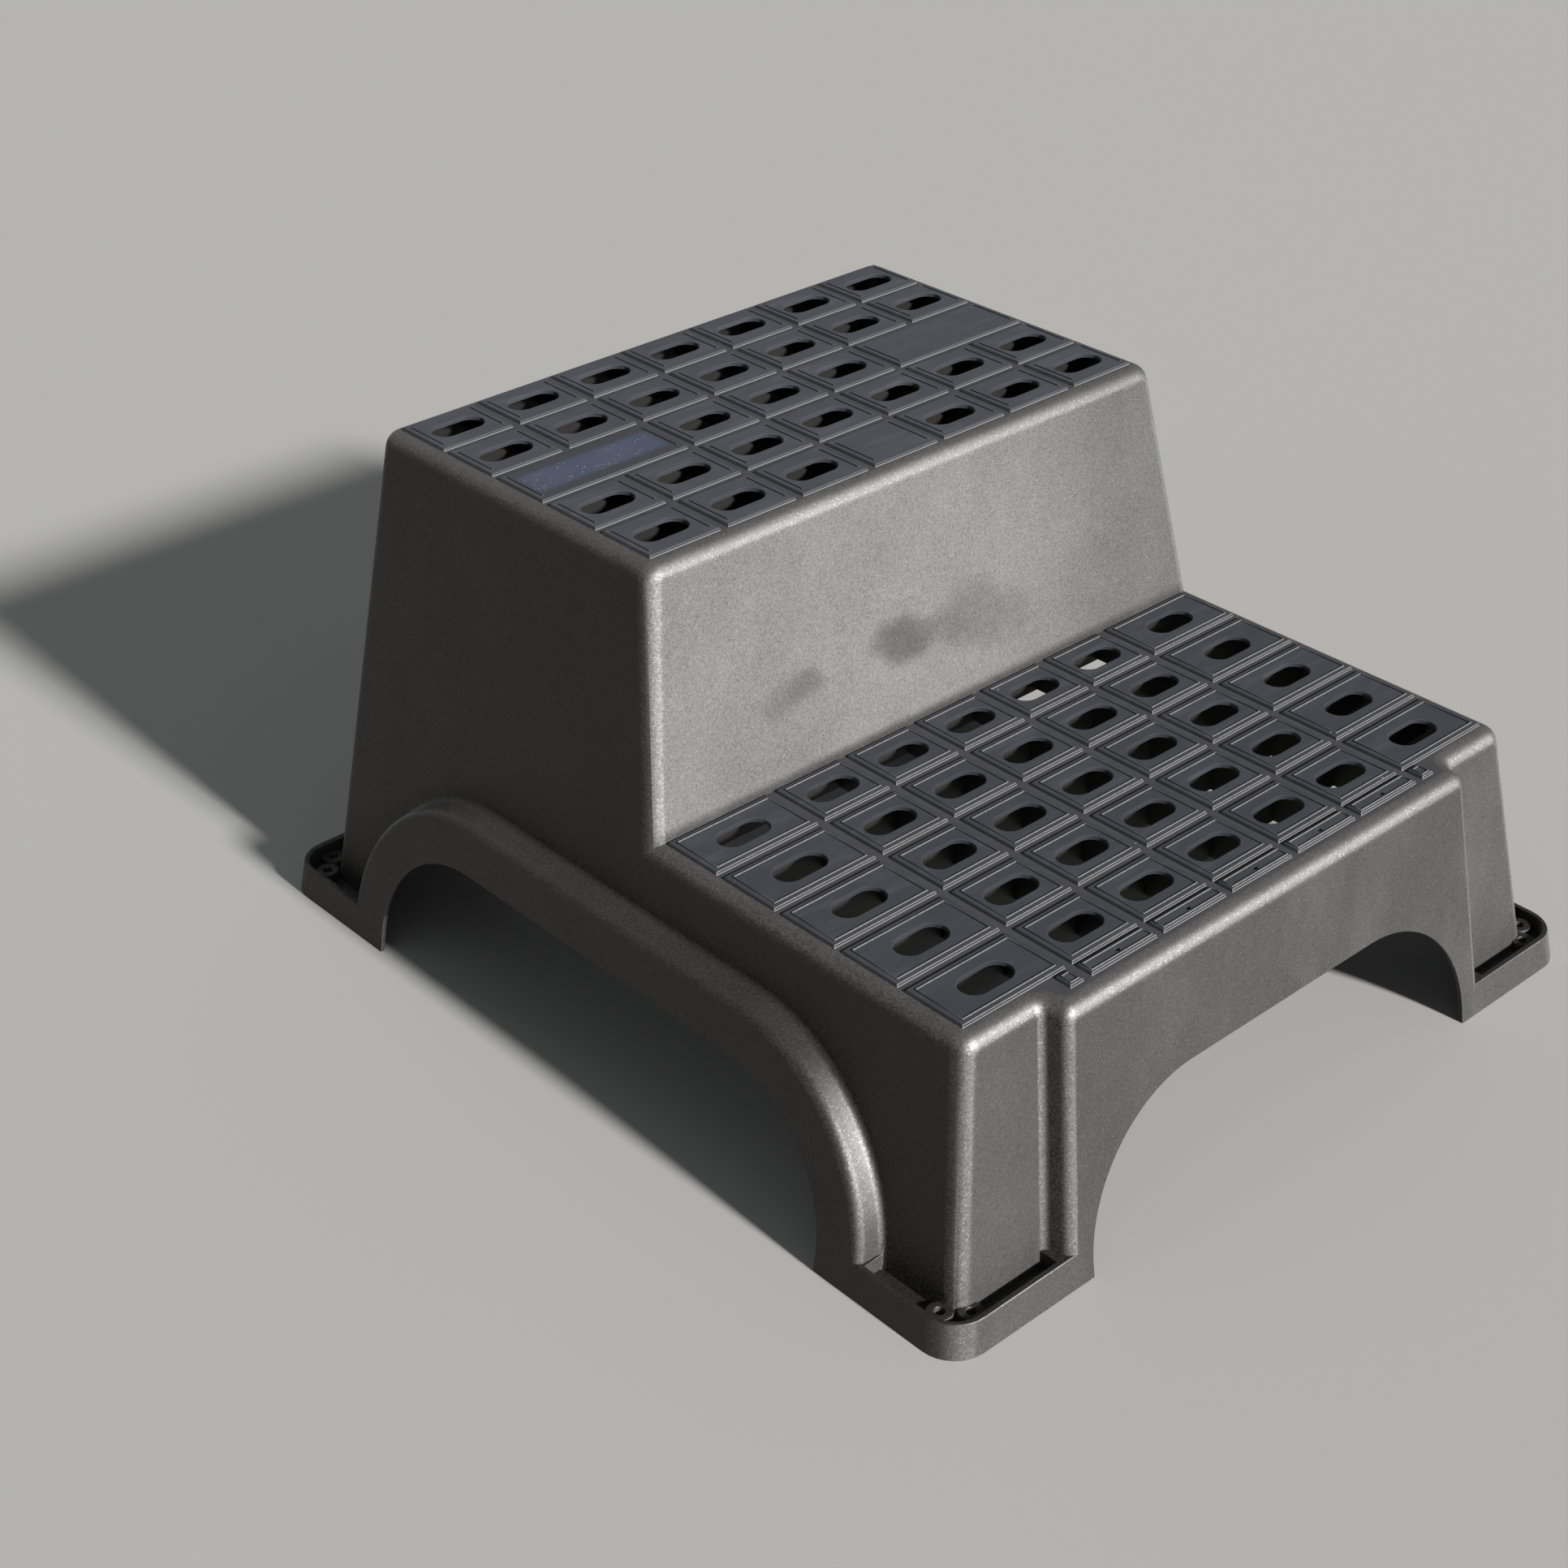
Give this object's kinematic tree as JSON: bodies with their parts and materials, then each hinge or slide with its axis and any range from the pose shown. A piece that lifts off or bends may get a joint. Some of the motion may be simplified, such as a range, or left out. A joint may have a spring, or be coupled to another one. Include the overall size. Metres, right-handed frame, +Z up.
{
  "type": "plastic step",
  "caption": "Moulded two-tread plastic entry step for a caravan or camper, with slotted anti-slip pads, open arches on all sides and four flanged feet with screw bosses.",
  "frame": {"origin": "middle of the footprint on the ground, midway between the outer faces of the feet", "axes": "+X across the step to the right as seen by someone climbing it, +Y from the lower tread's front edge to the back wall, +Z up"},
  "size_m": [0.628, 0.708, 0.3728],
  "materials": {
    "black_plastic": "weathered black moulded plastic, satin on the pads, finely grained on the walls"
  },
  "bodies": {
    "root": {"double_step": "black_plastic"}
  },
  "joints": []
}
